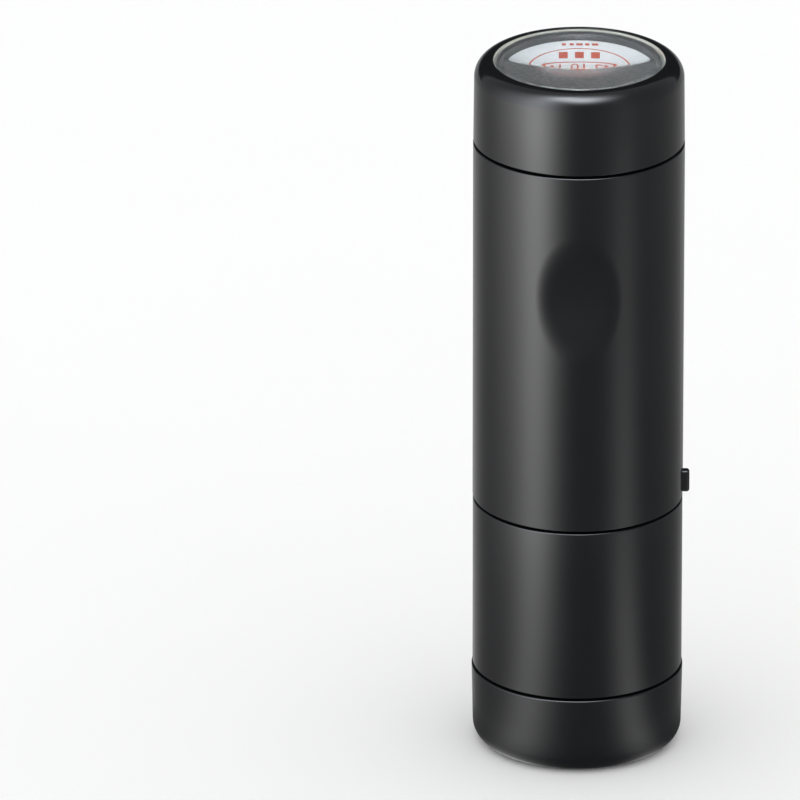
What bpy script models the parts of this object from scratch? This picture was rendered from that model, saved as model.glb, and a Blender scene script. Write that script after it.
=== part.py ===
"""Rotary date stamp: a capped, pre-inked, self-inking stamp with five date bands, built piece by piece.

Run it with  blender --background --python part.py  or from Blender's text editor. Lengths are metres, +Z is up.
The stamp stands on its cap: the origin is the centre of the cap's flat foot, and Z is the axis of every tube.
The front, with the thumb dent, faces -Y. The lock lever's tab stands out at +X.
"""

import math

import bmesh
import bpy
from mathutils import Matrix, Vector

MM = 0.001

# Driving dimensions ------------------------------------------------------------------------------
# Heights are counted from a datum inside the cap, and the cap's foot lies below it.
FOOT_DEPTH = 0.95 * MM      # datum down to the foot, where the origin is
BODY_R = 12.0 * MM          # barrel
CROWN_TOP_Z = 82.0 * MM
GAP = 0.3 * MM              # between pieces that touch
SEAM_CAP = 8.15 * MM        # top of the cap's lip
SEAM_BARREL = 28.75 * MM    # top of the lower housing
SEAM_CROWN = 72.1 * MM      # top of the barrel
EDGE = 0.15 * MM            # broken edge along each seam

CAP_LIP_R = 12.08 * MM
CAP_FOOT_R = 11.92 * MM
CAP_FLOOR = 1.5 * MM
CAP_FILLET = 2.1 * MM
CAP_BORE_R = 10.85 * MM

HOUSING_R = 11.97 * MM
SPIGOT_R = 10.55 * MM
SPIGOT_END_Z = 3.5 * MM
SKIRT_LEDGE_Z = 12.6 * MM
RING_LEDGE_Z = 22.0 * MM

SKIRT_R = 9.5 * MM
SKIRT_BORE_R = 8.8 * MM
SKIRT_EDGE_Z = 2.9 * MM
SKIRT_FLANGE_R = 10.0 * MM
SKIRT_FLANGE_T = 1.0 * MM

DIE_R = 7.75 * MM           # half of the 15.5 mm imprint
DIE_FACE_Z = 5.3 * MM
DIE_T = 2.0 * MM
PAD_TOP_Z = 12.7 * MM
HOLDER_R = 8.55 * MM
HOLDER_BORE_R = 8.0 * MM

WHEEL_COUNT = 5
WHEEL_PITCH = 1.9 * MM
WHEEL_Z = 31.0 * MM
WHEEL_TIP_R = 6.5 * MM
WHEEL_ROOT_R = 5.9 * MM
WHEEL_TEETH = 16
DRUM_R = 4.6 * MM
WHEEL_W = 1.75 * MM
RIM_W = 0.4 * MM
AXLE_R = 0.75 * MM
RUNNING = 0.1 * MM          # radial clearance on the axle

BAND_W = 1.2 * MM
BAND_T = 0.5 * MM
BAND_SLACK = 0.15 * MM      # between a band and what it runs over
NOSE_HALF_Y = 1.55 * MM

PLATE_X = 5.6 * MM          # inner face of each side plate
PLATE_T = 1.0 * MM
PLATE_HALF_Y = 4.2 * MM
PLATE_TOP_Z = 42.0 * MM
BRIDGE_Z = 38.4 * MM
BRIDGE_BACK_Y = 6.4 * MM
COMB_Y = 6.82 * MM          # middle of the leaf spring behind the wheels
COMB_HALF_T = 0.12 * MM
AXLE_REACH = 7.5 * MM       # half of the axle's length
SPACER_R = 1.9 * MM
CLIP_R = 1.6 * MM
CLIP_HALF_T = 0.15 * MM
RIM_SHIFT = 0.2 * MM        # how far a wheel sits left of its band's middle

GUIDE_R = 9.75 * MM
GUIDE_BORE_R = 8.9 * MM
GUIDE_FOOT_Z = 42.3 * MM
GUIDE_TOP_Z = 61.0 * MM
BARREL_BORE_R = 10.4 * MM

TAB_Z = (29.3 * MM, 31.9 * MM)
TAB_TIP_R = 12.75 * MM
TAB_W = 1.2 * MM

CROWN_R = 11.98 * MM
CROWN_FILLET = 2.2 * MM
CROWN_BORE_R = 9.25 * MM
CROWN_SPIGOT_R = 10.1 * MM
CROWN_SPIGOT_Z = 67.9 * MM
LENS_R = 9.5 * MM
LENS_SEAT_Z = 81.05 * MM
LENS_EDGE_R = 8.7 * MM      # where the lens's flat rim meets its bulging underside
LENS_SAG = 1.5 * MM
LABEL_R = 8.3 * MM
LABEL_T = 0.25 * MM
LABEL_Z = 79.3 * MM

OUTER_STEPS = 48
INNER_STEPS = 36

# Scene, collections and materials -----------------------------------------------------------------
for old in list(bpy.data.objects):
    bpy.data.objects.remove(old, do_unlink=True)


def new_collection(name):
    collection = bpy.data.collections.new(name)
    bpy.context.scene.collection.children.link(collection)
    return collection


PARTS = new_collection("rotary_date_stamp")
CUTTERS = new_collection("cutters")

FINISHES = {
    "black_abs": ((0.012, 0.013, 0.015), 0.32, 0.0),
    "grey_abs": ((0.10, 0.105, 0.115), 0.45, 0.0),
    "white_acetal": ((0.78, 0.77, 0.73), 0.4, 0.0),
    "spring_steel": ((0.55, 0.55, 0.56), 0.28, 1.0),
    "band_rubber": ((0.16, 0.05, 0.03), 0.6, 0.0),
    "die_rubber": ((0.45, 0.10, 0.04), 0.6, 0.0),
    "ink_felt": ((0.50, 0.09, 0.03), 0.9, 0.0),
    "seal_rubber": ((0.03, 0.03, 0.03), 0.7, 0.0),
    "clear_acrylic": ((0.9, 0.92, 0.93), 0.03, 0.0),
    "label_card": ((0.85, 0.85, 0.84), 0.6, 0.0),
}


def make_finish(name, colour, roughness, metallic):
    finish = bpy.data.materials.new(name)
    finish.use_nodes = True
    shader = finish.node_tree.nodes["Principled BSDF"]
    shader.inputs["Base Color"].default_value = (*colour, 1.0)
    shader.inputs["Roughness"].default_value = roughness
    shader.inputs["Metallic"].default_value = metallic
    return finish


def finish_for(node, kind):
    """A node's own material, from the recipe of its kind."""
    colour, roughness, metallic = FINISHES[kind]
    return make_finish(f"{node}_{kind}", colour, roughness, metallic)


# Building tools -----------------------------------------------------------------------------------
def link(obj, collection):
    collection.objects.link(obj)
    return obj


def evaluated_mesh(obj):
    bpy.context.view_layer.update()
    graph = bpy.context.evaluated_depsgraph_get()
    return bpy.data.meshes.new_from_object(obj.evaluated_get(graph))


def as_mesh(obj):
    """The same object as a plain welded mesh, in the same place."""
    mesh = evaluated_mesh(obj)
    weld(mesh)
    plain = bpy.data.objects.new(obj.name, mesh)
    for collection in obj.users_collection:
        collection.objects.link(plain)
    plain.matrix_world = obj.matrix_world.copy()
    name = obj.name
    bpy.data.objects.remove(obj, do_unlink=True)
    plain.name = name
    return plain


def weld(mesh):
    shape = bmesh.new()
    shape.from_mesh(mesh)
    bmesh.ops.remove_doubles(shape, verts=shape.verts, dist=1e-6)
    shape.to_mesh(mesh)
    shape.free()


def turned(name, profile, steps=OUTER_STEPS, collection=PARTS):
    """A turned piece: the profile, as (radius, height) points from the outer top down, carried round Z."""
    points = [(radius, 0.0, height) for radius, height in profile]
    on_axis = profile[0][0] == 0.0 and profile[-1][0] == 0.0
    edges = [(i, i + 1) for i in range(len(points) - 1)]
    if not on_axis:
        edges.append((len(points) - 1, 0))
    mesh = bpy.data.meshes.new(name)
    mesh.from_pydata(points, edges, [])
    obj = link(bpy.data.objects.new(name, mesh), collection)
    screw = obj.modifiers.new("turn", "SCREW")
    screw.steps = steps
    screw.render_steps = steps
    screw.use_merge_vertices = True
    screw.merge_threshold = 1e-5
    return as_mesh(obj)


def arc(centre, radius, start, end, count):
    """Points (r, z) of an arc between two angles in degrees."""
    turns = [math.radians(start + (end - start) * i / count) for i in range(count + 1)]
    return [(centre[0] + radius * math.cos(t), centre[1] + radius * math.sin(t)) for t in turns]


def box(name, low, high, collection=PARTS):
    bpy.ops.mesh.primitive_cube_add(size=1.0)
    obj = bpy.context.object
    obj.name = name
    for other in obj.users_collection:
        other.objects.unlink(obj)
    collection.objects.link(obj)
    low, high = Vector(low), Vector(high)
    for vertex in obj.data.vertices:
        place = Vector(vertex.co)
        vertex.co = [(low[i] + high[i]) / 2 + place[i] * (high[i] - low[i]) for i in range(3)]
    return obj


def outline_piece(name, loops, half_thickness, turn, place=(0, 0, 0), collection=PARTS):
    """A flat piece: closed outlines filled, inner ones as holes, and extruded both ways from their plane."""
    curve = bpy.data.curves.new(name, "CURVE")
    curve.dimensions = "2D"
    curve.fill_mode = "BOTH"
    curve.extrude = half_thickness
    for loop in loops:
        spline = curve.splines.new("POLY")
        spline.points.add(len(loop) - 1)
        for point, (x, y) in zip(spline.points, loop):
            point.co = (x, y, 0.0, 1.0)
        spline.use_cyclic_u = True
    obj = link(bpy.data.objects.new(name, curve), collection)
    obj.rotation_euler = turn
    obj.location = place
    return placed(as_mesh(obj))


def placed(obj, origin=(0, 0, 0)):
    """Puts the object's place in its mesh, then moves its origin to a point on its joint's axis."""
    bpy.context.view_layer.update()
    obj.data.transform(obj.matrix_world)
    obj.matrix_world.identity()
    obj.data.transform(Matrix.Translation(-Vector(origin)))
    obj.location = origin
    return obj


ALONG_X = (math.pi / 2, 0.0, math.pi / 2)   # an outline drawn as (y, z), extruded along X
ALONG_Y = (math.pi / 2, 0.0, 0.0)           # an outline drawn as (x, z), extruded along Y
ALONG_Z = (0.0, 0.0, 0.0)                   # an outline drawn as (x, y), extruded along Z


def boolean(target, other, operation):
    """Cuts or joins, keeps the result as the target's mesh and puts a cutter away."""
    modifier = target.modifiers.new(operation.lower(), "BOOLEAN")
    modifier.operation = operation
    modifier.object = other
    modifier.solver = "EXACT"
    result = evaluated_mesh(target)
    weld(result)
    target.modifiers.clear()
    target.data = result
    bpy.data.objects.remove(other, do_unlink=True)
    return target


def finished(obj, kind, body):
    """Shades round faces smooth, gives the piece its material and hangs it on its body's empty."""
    obj.data.shade_smooth()
    obj.data.set_sharp_from_angle(angle=math.radians(32))
    obj.data.materials.clear()
    obj.data.materials.append(finish_for(obj.name, kind))
    obj.parent = body
    return obj


def body_empty(name, parent=None):
    empty = link(bpy.data.objects.new(name, None), PARTS)
    empty.empty_display_size = 5 * MM
    empty.parent = parent
    return empty


def circle(radius, count, centre=(0.0, 0.0), start=0.0):
    turns = [start + 2 * math.pi * i / count for i in range(count)]
    return [(centre[0] + radius * math.cos(t), centre[1] + radius * math.sin(t)) for t in turns]


def sector(inner, outer, start, end, count):
    """The outline of a ring segment between two angles in degrees."""
    far = arc((0, 0), outer, start, end, count)
    near = arc((0, 0), inner, end, start, count)
    return far + near


def disc(name, radius, low, high, steps=INNER_STEPS, inner=0.0):
    """A flat round piece, with a hole when an inner radius is given."""
    if inner:
        return turned(name, [(radius, high), (radius, low), (inner, low), (inner, high)], steps)
    return turned(name, [(0.0, high), (radius, high), (radius, low), (0.0, low)], steps)


CAP = body_empty("cap_body")
CAP.location.z = FOOT_DEPTH
STAMP = body_empty("stamp_body", CAP)
SKIRT = body_empty("skirt_body", STAMP)
BARREL = body_empty("barrel_body", STAMP)
CROWN = body_empty("crown_body", BARREL)
LOCK = body_empty("lock_body", STAMP)


# Cap ------------------------------------------------------------------------------------------------
def cap():
    corner = (CAP_FOOT_R - CAP_FILLET, CAP_FILLET - FOOT_DEPTH)
    root = 0.6 * MM
    profile = [
        (0.0, CAP_FLOOR),
        (CAP_BORE_R - root, CAP_FLOOR),
        (CAP_BORE_R, CAP_FLOOR + root),
        (CAP_BORE_R, SEAM_CAP),
        (CAP_LIP_R - EDGE, SEAM_CAP),
        (CAP_LIP_R, SEAM_CAP - EDGE),
    ]
    profile += arc(corner, CAP_FILLET, 0, -90, 5) + [(0.0, -FOOT_DEPTH)]
    finished(turned("cap_shell", profile), "black_abs", CAP)
    pad = disc("cap_pad", SKIRT_R, CAP_FLOOR + GAP, SKIRT_EDGE_Z - GAP)
    finished(pad, "seal_rubber", CAP)


# Lower housing, skirt and its spring ------------------------------------------------------------------
def lower_housing():
    shoulder = SEAM_CAP + GAP
    bore = SKIRT_R + GAP
    skirt_room = SKIRT_FLANGE_R + GAP
    ring_room = 10.8 * MM
    profile = [
        (HOUSING_R - EDGE, SEAM_BARREL),
        (HOUSING_R, SEAM_BARREL - EDGE),
        (HOUSING_R, shoulder + EDGE),
        (HOUSING_R - EDGE, shoulder),
        (SPIGOT_R, shoulder),
        (SPIGOT_R, SPIGOT_END_Z + GAP),
        (SPIGOT_R - GAP, SPIGOT_END_Z),
        (bore, SPIGOT_END_Z),
        (bore, SKIRT_LEDGE_Z),
        (skirt_room, SKIRT_LEDGE_Z),
        (skirt_room, RING_LEDGE_Z),
        (ring_room, RING_LEDGE_Z),
        (ring_room, SEAM_BARREL),
    ]
    finished(turned("lower_housing", profile), "black_abs", STAMP)


def skirt():
    top = SKIRT_LEDGE_Z + GAP + SKIRT_FLANGE_T
    profile = [
        (SKIRT_FLANGE_R, top),
        (SKIRT_FLANGE_R, top - SKIRT_FLANGE_T),
        (SKIRT_R, top - SKIRT_FLANGE_T),
        (SKIRT_R, SKIRT_EDGE_Z + 0.2 * MM),
        (SKIRT_R - 0.2 * MM, SKIRT_EDGE_Z),
        (SKIRT_BORE_R + 0.1 * MM, SKIRT_EDGE_Z),
        (SKIRT_BORE_R, SKIRT_EDGE_Z + 0.1 * MM),
        (SKIRT_BORE_R, top),
    ]
    finished(turned("skirt", profile, INNER_STEPS), "grey_abs", SKIRT)
    return top


def return_spring(low, high):
    """A compression spring: a helix of round wire between two heights."""
    wire, radius, turns, per_turn = 0.3 * MM, 9.4 * MM, 4.5, 16
    count = int(turns * per_turn)
    curve = bpy.data.curves.new("return_spring", "CURVE")
    curve.dimensions = "3D"
    curve.bevel_depth = wire
    curve.bevel_resolution = 2
    curve.use_fill_caps = True
    spline = curve.splines.new("POLY")
    spline.points.add(count)
    for i, point in enumerate(spline.points):
        turn = 2 * math.pi * i / per_turn
        height = low + wire + (high - low - 2 * wire) * i / count
        point.co = (radius * math.cos(turn), radius * math.sin(turn), height, 1.0)
    obj = as_mesh(link(bpy.data.objects.new("return_spring", curve), PARTS))
    finished(obj, "spring_steel", STAMP)


# Die, ink pad and their holder ---------------------------------------------------------------------
def slotted(obj, half_x, half_y, low, high):
    tool = box("slot_tool", (-half_x, -half_y, low - MM), (half_x, half_y, high + MM), CUTTERS)
    return boolean(obj, tool, "DIFFERENCE")


def printing_head():
    slot_x = 5.6 * MM
    die_top = DIE_FACE_Z + DIE_T
    die = slotted(disc("name_die", DIE_R, DIE_FACE_Z, die_top), slot_x, 2.4 * MM, DIE_FACE_Z, die_top)
    finished(die, "die_rubber", STAMP)
    pad = disc("ink_pad", DIE_R, die_top + GAP, PAD_TOP_Z)
    finished(slotted(pad, slot_x, 3.4 * MM, die_top, PAD_TOP_Z), "ink_felt", STAMP)
    web, web_top, rim = PAD_TOP_Z + GAP, PAD_TOP_Z + GAP + MM, 15.5 * MM
    lip = DIE_FACE_Z + 0.6 * MM
    profile = [
        (0.0, web_top),
        (HOLDER_BORE_R, web_top),
        (HOLDER_BORE_R, rim),
        (HOLDER_R, rim),
        (HOLDER_R, lip),
        (HOLDER_BORE_R, lip),
        (HOLDER_BORE_R, web),
        (0.0, web),
    ]
    holder = turned("die_holder", profile, INNER_STEPS)
    finished(slotted(holder, slot_x + 0.1 * MM, 3.7 * MM, web, web_top), "white_acetal", STAMP)


# Date bands, their nose and the wheels ---------------------------------------------------------------
def band_centre(index):
    return (index - (WHEEL_COUNT - 1) / 2) * WHEEL_PITCH


def hull(points):
    """The convex outline round the points, anticlockwise."""
    points = sorted(set(points))

    def half(ordered):
        chain = []
        for p in ordered:
            while len(chain) > 1:
                a, b = chain[-2], chain[-1]
                if (b[0] - a[0]) * (p[1] - a[1]) - (b[1] - a[1]) * (p[0] - a[0]) > 0:
                    break
                chain.pop()
            chain.append(p)
        return chain[:-1]

    return half(points) + half(points[::-1])


def band_loop(offset):
    """The band's path offset outwards: it wraps the drum above and the square nose below."""
    nose = NOSE_HALF_Y
    bottom = DIE_FACE_Z + BAND_T + BAND_SLACK
    corner = max(offset, 0.05 * MM)
    points = circle(DRUM_R + offset, 32, (0.0, WHEEL_Z))
    for side in (-1, 1):
        points += circle(corner, 16, (side * nose, bottom), math.pi / 16)
    return hull(points)


def bands_and_nose():
    for i in range(WHEEL_COUNT):
        loops = [band_loop(BAND_SLACK + BAND_T), band_loop(BAND_SLACK)]
        name = f"date_band_{i + 1}"
        band = outline_piece(name, loops, BAND_W / 2, ALONG_X, (band_centre(i), 0, 0))
        finished(band, "band_rubber", STAMP)
    bottom = DIE_FACE_Z + BAND_T + BAND_SLACK
    outer, inner, bar, top = 5.3 * MM, 4.65 * MM, bottom + 1.6 * MM, 19.0 * MM
    half = [(outer, bottom), (outer, top), (inner, top), (inner, bar)]
    loop = half + [(-x, z) for x, z in reversed(half)]
    finished(outline_piece("band_nose", [loop], NOSE_HALF_Y, ALONG_Y), "white_acetal", STAMP)


def toothed_rim():
    """Sixteen flat-topped thumb teeth: four outline points for each."""
    loop = []
    step = 2 * math.pi / WHEEL_TEETH
    for tooth in range(WHEEL_TEETH):
        for part, radius in ((0.0, WHEEL_TIP_R), (0.34, WHEEL_TIP_R), (0.5, WHEEL_ROOT_R), (0.84, WHEEL_ROOT_R)):
            turn = (tooth + part) * step
            loop.append((radius * math.cos(turn), radius * math.sin(turn)))
    return loop


def date_wheels():
    """Each wheel is a drum for its band with one toothed rim beside it, on the common axle."""
    for i in range(WHEEL_COUNT):
        left = band_centre(i) - RIM_SHIFT - WHEEL_W / 2
        hub_left = left + 0.08 * MM
        hub_half = (left + WHEEL_W - hub_left) / 2
        name = f"date_wheel_{i + 1}"
        hub_loops = [circle(DRUM_R, 32), circle(AXLE_R + RUNNING, 16)]
        hub = outline_piece(name, hub_loops, hub_half, ALONG_X, (hub_left + hub_half, 0, 0))
        rim_loops = [toothed_rim(), circle(3.0 * MM, 16)]
        rim = outline_piece("rim_tool", rim_loops, RIM_W / 2, ALONG_X, (left + RIM_W / 2, 0, 0), CUTTERS)
        wheel = boolean(hub, rim, "UNION")
        wheel.location = (0, 0, WHEEL_Z)
        finished(wheel, "white_acetal", STAMP)


def axle():
    shaft = outline_piece("wheel_axle", [circle(AXLE_R, 16)], AXLE_REACH, ALONG_X, (0, 0, WHEEL_Z))
    finished(shaft, "spring_steel", STAMP)
    stack_left = band_centre(0) - RIM_SHIFT - WHEEL_W / 2
    stack_right = band_centre(WHEEL_COUNT - 1) - RIM_SHIFT + WHEEL_W / 2
    gap = 0.15 * MM
    for name, low, high in (
        ("axle_spacer_left", -PLATE_X + gap, stack_left - gap),
        ("axle_spacer_right", stack_right + gap, PLATE_X - gap),
    ):
        loops = [circle(SPACER_R, 20), circle(AXLE_R + RUNNING, 16)]
        spacer = outline_piece(name, loops, (high - low) / 2, ALONG_X, ((low + high) / 2, 0, WHEEL_Z))
        finished(spacer, "white_acetal", STAMP)
    for name, side in (("axle_clip_left", -1), ("axle_clip_right", 1)):
        loop = e_clip()
        place = (side * (PLATE_X + PLATE_T + 0.4 * MM), 0, WHEEL_Z)
        finished(outline_piece(name, [loop], CLIP_HALF_T, ALONG_X, place), "spring_steel", STAMP)


def e_clip():
    """An open retaining clip: a ring segment with its mouth downwards."""
    outer = arc((0, 0), CLIP_R, -60, 240, 14)
    inner = arc((0, 0), AXLE_R + RUNNING, 240, -60, 12)
    return outer + inner


# Frame ---------------------------------------------------------------------------------------------
def frame():
    foot, corner = PAD_TOP_Z + 2 * GAP + MM, MM
    half = PLATE_HALF_Y
    loop = [
        (half, foot),
        (half, PLATE_TOP_Z - corner),
        (half - corner, PLATE_TOP_Z),
        (corner - half, PLATE_TOP_Z),
        (-half, PLATE_TOP_Z - corner),
        (-half, foot),
    ]
    hole = circle(AXLE_R + RUNNING, 16, (0.0, WHEEL_Z))
    for name, side in (("frame_plate_left", -1), ("frame_plate_right", 1)):
        place = (side * (PLATE_X + PLATE_T / 2), 0, 0)
        finished(outline_piece(name, [loop, hole], PLATE_T / 2, ALONG_X, place), "white_acetal", STAMP)
    ring = disc("chassis_ring", 10.5 * MM, RING_LEDGE_Z + GAP, 24.1 * MM, INNER_STEPS, 8.15 * MM)
    finished(ring, "white_acetal", STAMP)
    bridge = box("frame_bridge", (GAP - PLATE_X, -half, BRIDGE_Z), (PLATE_X - GAP, BRIDGE_BACK_Y, PLATE_TOP_Z))
    thread = outline_piece("thread_tool", [circle(1.15 * MM, 16)], 3 * MM, ALONG_Z, (0, 0, PLATE_TOP_Z), CUTTERS)
    finished(boolean(bridge, thread, "DIFFERENCE"), "white_acetal", STAMP)


def detent_comb():
    """A leaf with five fingers that hang behind the wheels, one for each toothed rim."""
    half_x, top, root, tip = 4.85 * MM, PLATE_TOP_Z, BRIDGE_Z, 27.0 * MM
    finger = 0.75 * MM
    loop = [(-half_x, top), (-half_x, root)]
    for i in range(WHEEL_COUNT):
        rim = band_centre(i) - RIM_SHIFT - WHEEL_W / 2 + RIM_W / 2 + 0.3 * MM
        loop += [
            (rim - finger / 2, root),
            (rim - finger / 2, tip),
            (rim + finger / 2, tip),
            (rim + finger / 2, root),
        ]
    loop += [(half_x, root), (half_x, top)]
    comb = outline_piece("detent_comb", [loop], COMB_HALF_T, ALONG_Y, (0, COMB_Y, 0))
    finished(comb, "spring_steel", STAMP)


def guide_tube():
    flange_r, flange_z = 10.15 * MM, 58.3 * MM
    groove_r, groove = 9.45 * MM, (59.0 * MM, 60.3 * MM)
    floor, hole_r = GUIDE_FOOT_Z + 1.5 * MM, 1.25 * MM
    profile = [
        (flange_r, GUIDE_TOP_Z),
        (flange_r, groove[1]),
        (groove_r, groove[1]),
        (groove_r, groove[0]),
        (flange_r, groove[0]),
        (flange_r, flange_z),
        (GUIDE_R, flange_z),
        (GUIDE_R, GUIDE_FOOT_Z),
        (hole_r, GUIDE_FOOT_Z),
        (hole_r, floor),
        (GUIDE_BORE_R, floor),
        (GUIDE_BORE_R, GUIDE_TOP_Z),
    ]
    finished(turned("guide_tube", profile, INNER_STEPS), "white_acetal", STAMP)
    middle = ((groove[0] + groove[1]) / 2)
    section = arc((9.88 * MM, middle), 0.4 * MM, 90, -270, 8)[:-1]
    finished(turned("guide_ring", section, INNER_STEPS), "seal_rubber", STAMP)
    head = (floor + GAP, floor + GAP + 1.2 * MM)
    screw_profile = [
        (0.0, head[1]),
        (2.0 * MM, head[1]),
        (2.0 * MM, head[0]),
        (0.9 * MM, head[0]),
        (0.9 * MM, PLATE_TOP_Z - 2.4 * MM),
        (0.0, PLATE_TOP_Z - 2.4 * MM),
    ]
    finished(turned("frame_screw", screw_profile, 24), "spring_steel", STAMP)


# Lock lever -----------------------------------------------------------------------------------------
def lock_lever():
    """A sector inside the barrel's foot. Its tab looks out of the notch, and its hook swings over the barrel's lug."""
    low, high, hook = 24.4 * MM, 32.3 * MM, 31.1 * MM
    core = sector(8.5 * MM, 9.4 * MM, -25, 12, 8)
    lever = outline_piece("lock_lever", [core], (high - low) / 2, ALONG_Z, (0, 0, (low + high) / 2))
    claw = sector(9.2 * MM, 10.15 * MM, -23, -12.5, 3)
    half = (high - hook - 0.05 * MM) / 2
    tool = outline_piece("hook_tool", [claw], half, ALONG_Z, (0, 0, hook + half), CUTTERS)
    lever = boolean(lever, tool, "UNION")
    tab = box("tab_tool", (9.2 * MM, -TAB_W / 2, TAB_Z[0]), (TAB_TIP_R, TAB_W / 2, TAB_Z[1]), CUTTERS)
    soften(tab, 0.35 * MM)
    finished(boolean(lever, tab, "UNION"), "black_abs", LOCK)


def soften(obj, width):
    """Rounds every edge of a small box."""
    bevel = obj.modifiers.new("round", "BEVEL")
    bevel.width = width
    bevel.segments = 2
    mesh = evaluated_mesh(obj)
    obj.modifiers.clear()
    obj.data = mesh


# Barrel ---------------------------------------------------------------------------------------------
def barrel():
    foot, bead = SEAM_BARREL + GAP, (43.0 * MM, 44.0 * MM)
    bead_r = GUIDE_R + GAP
    profile = [
        (BODY_R - EDGE, SEAM_CROWN),
        (BODY_R, SEAM_CROWN - EDGE),
        (BODY_R, foot + EDGE),
        (BODY_R - EDGE, foot),
        (BARREL_BORE_R, foot),
        (BARREL_BORE_R, bead[0]),
        (bead_r, bead[0]),
        (bead_r, bead[1]),
        (BARREL_BORE_R, bead[1]),
        (BARREL_BORE_R, SEAM_CROWN),
    ]
    obj = turned("barrel", profile)
    obj = boolean(obj, thumb_dent(), "DIFFERENCE")
    notch = box("notch_tool", (9.0 * MM, -0.95 * MM, foot - MM), (13.5 * MM, 4.3 * MM, TAB_Z[1] + 0.4 * MM), CUTTERS)
    obj = boolean(obj, notch, "DIFFERENCE")
    lug = box("lug_tool", (9.7 * MM, -1.85 * MM, 29.5 * MM), (11.2 * MM, -1.1 * MM, 30.8 * MM), CUTTERS)
    finished(boolean(obj, lug, "UNION"), "black_abs", BARREL)


def thumb_dent():
    """A flattened ball that bites an oval, 7.8 by 12 mm and 0.7 mm deep, out of the barrel's front."""
    depth, half_x, half_z, z = 0.7 * MM, 3.9 * MM, 6.0 * MM, 57.0 * MM
    reach = 30 * MM
    bpy.ops.mesh.primitive_uv_sphere_add(segments=40, ring_count=24, radius=1.0)
    ball = bpy.context.object
    ball.name = "dent_tool"
    for other in ball.users_collection:
        other.objects.unlink(ball)
    CUTTERS.objects.link(ball)
    side_y = math.sqrt(BODY_R ** 2 - half_x ** 2)
    nearest = BODY_R - depth
    centre_y = nearest + reach
    x_scale = half_x / math.sqrt(1 - ((centre_y - side_y) / reach) ** 2)
    z_scale = half_z / math.sqrt(1 - ((centre_y - BODY_R) / reach) ** 2)
    ball.rotation_euler = (math.pi / 2, 0, 0)
    bpy.context.view_layer.update()
    ball.data.transform(ball.matrix_world)
    ball.rotation_euler = (0, 0, 0)
    for vertex in ball.data.vertices:
        vertex.co = (
            vertex.co.x * x_scale,
            vertex.co.y * reach - centre_y,
            vertex.co.z * z_scale + z,
        )
    return ball


# Crown, lens and index ------------------------------------------------------------------------------
def crown():
    foot = SEAM_CROWN + GAP
    corner = (CROWN_R - CROWN_FILLET, CROWN_TOP_Z - CROWN_FILLET)
    profile = arc(corner, CROWN_FILLET, 90, 0, 7)
    profile += [
        (CROWN_R, foot + EDGE),
        (CROWN_R - EDGE, foot),
        (CROWN_SPIGOT_R, foot),
        (CROWN_SPIGOT_R, CROWN_SPIGOT_Z + EDGE),
        (CROWN_SPIGOT_R - EDGE, CROWN_SPIGOT_Z),
        (CROWN_BORE_R, CROWN_SPIGOT_Z),
        (CROWN_BORE_R, LENS_SEAT_Z),
        (CROWN_R - CROWN_FILLET, LENS_SEAT_Z),
    ]
    finished(turned("crown", profile), "black_abs", CROWN)


def lens():
    """A flat top with a broken edge, and a shallow ball-shaped underside over the index."""
    top, rim, broken = CROWN_TOP_Z - 0.07 * MM, LENS_SEAT_Z + GAP, 0.3 * MM
    ball_r = (LENS_EDGE_R ** 2 + LENS_SAG ** 2) / (2 * LENS_SAG)
    spread = math.degrees(math.asin(LENS_EDGE_R / ball_r))
    under = arc((0.0, rim - LENS_SAG + ball_r), ball_r, -90 + spread, -90, 6)
    under[-1] = (0.0, rim - LENS_SAG)
    profile = [(0.0, top), (LENS_R - broken, top), (LENS_R, top - broken), (LENS_R, rim)] + under
    finished(turned("index_lens", profile, INNER_STEPS), "clear_acrylic", CROWN)


def index():
    card = disc("index_label", LABEL_R, LABEL_Z, LABEL_Z + LABEL_T)
    finished(card, "label_card", CROWN)
    deck, wall, floor, depth = LABEL_Z - GAP, 1.0 * MM, 1.2 * MM, 2.4 * MM
    inner, outer, lip = LABEL_R + GAP, CROWN_BORE_R - GAP, LENS_SEAT_Z - 0.1 * MM
    profile = [
        (0.0, deck),
        (inner, deck),
        (inner, lip),
        (outer, lip),
        (outer, deck - depth),
        (outer - wall, deck - depth),
        (outer - wall, deck - floor),
        (0.0, deck - floor),
    ]
    finished(turned("label_seat", profile, INNER_STEPS), "white_acetal", CROWN)


def main():
    cap()
    lower_housing()
    skirt_top = skirt()
    return_spring(skirt_top + GAP, RING_LEDGE_Z)
    printing_head()
    bands_and_nose()
    date_wheels()
    axle()
    frame()
    detent_comb()
    guide_tube()
    lock_lever()
    barrel()
    crown()
    lens()
    index()
    CUTTERS.hide_render = True


main()
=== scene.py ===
"""Looks of the rotary date stamp: polished black mouldings, a clear lens over its card, and the works inside.

Every piece stands in the CAD frame: Z is the axis of the tubes, the foot is at zero and the front faces -Y.
"""

import math

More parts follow.
